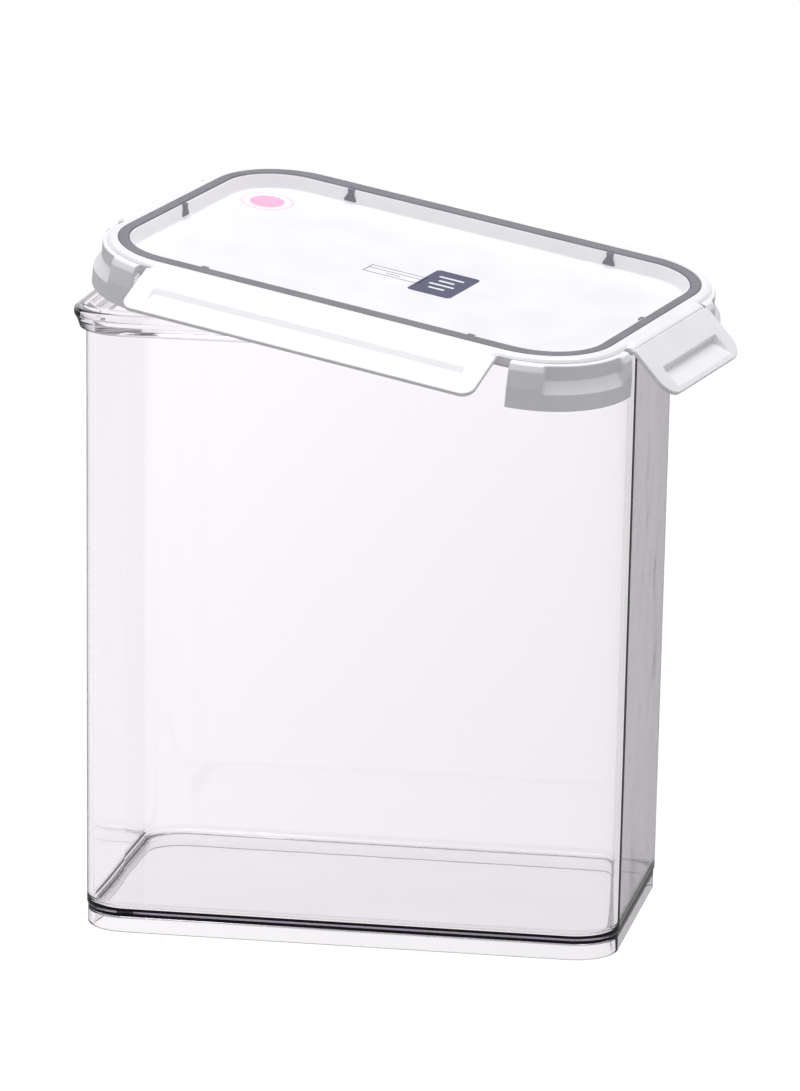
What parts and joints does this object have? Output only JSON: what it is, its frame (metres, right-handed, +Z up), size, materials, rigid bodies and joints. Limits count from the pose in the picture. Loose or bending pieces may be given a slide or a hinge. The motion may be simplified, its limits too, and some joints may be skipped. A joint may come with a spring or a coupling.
{
  "type": "food canister",
  "caption": "Tall clear rectangular food canister with rounded corners and a raised floor, its loose white lid with hinged snap flaps set askew on the rim.",
  "frame": {"origin": "on the surface it stands on, under the middle of the whole object's box; the container's own axis is 17 mm to the left of it and 37 mm behind it", "axes": "+Z up, +X towards the container's right side, -Y towards its front, which is one of its two wide sides"},
  "size_m": [0.2626, 0.223, 0.292],
  "materials": {
    "clear_plastic": "clear, polished",
    "lid_plastic": "satin white",
    "soft_grey": "matt, soft touch",
    "seal_silicone": "matt, translucent white"
  },
  "bodies": {
    "container": {"container_body": "clear_plastic"},
    "lid": {"lid_shell": "lid_plastic", "soft_ring": "soft_grey", "seal_gasket": "seal_silicone"},
    "flap_front": {"flap_front": "lid_plastic"},
    "flap_right": {"flap_right": "lid_plastic"},
    "flap_back": {"flap_back": "lid_plastic"},
    "flap_left": {"flap_left": "lid_plastic"}
  },
  "joints": [
    {"name": "lid_lift", "type": "slide", "parent": "container", "child": "lid", "axis": [0, 0, 1], "range_m": [0, 0.12]},
    {"name": "front_flap_hinge", "type": "hinge", "parent": "lid", "child": "flap_front", "pos_m": [-0.02177, -0.07019, 0.26002], "axis": [0.9502, -0.2815, -0.134], "range_deg": [-56, 64], "stiffness_Nm_per_rad": 0.03},
    {"name": "right_flap_hinge", "type": "hinge", "parent": "lid", "child": "flap_right", "pos_m": [0.10483, -0.03227, 0.2535], "axis": [0.2969, 0.9481, 0.1139], "range_deg": [-70, 50], "stiffness_Nm_per_rad": 0.03},
    {"name": "back_flap_hinge", "type": "hinge", "parent": "lid", "child": "flap_back", "pos_m": [0.02145, 0.06785, 0.2766], "axis": [-0.9502, 0.2815, 0.134], "range_deg": [-80, 2], "stiffness_Nm_per_rad": 0.03},
    {"name": "left_flap_hinge", "type": "hinge", "parent": "lid", "child": "flap_left", "pos_m": [-0.10515, 0.02993, 0.28312], "axis": [-0.2969, -0.9481, -0.1139], "range_deg": [-112, 8], "stiffness_Nm_per_rad": 0.03}
  ]
}
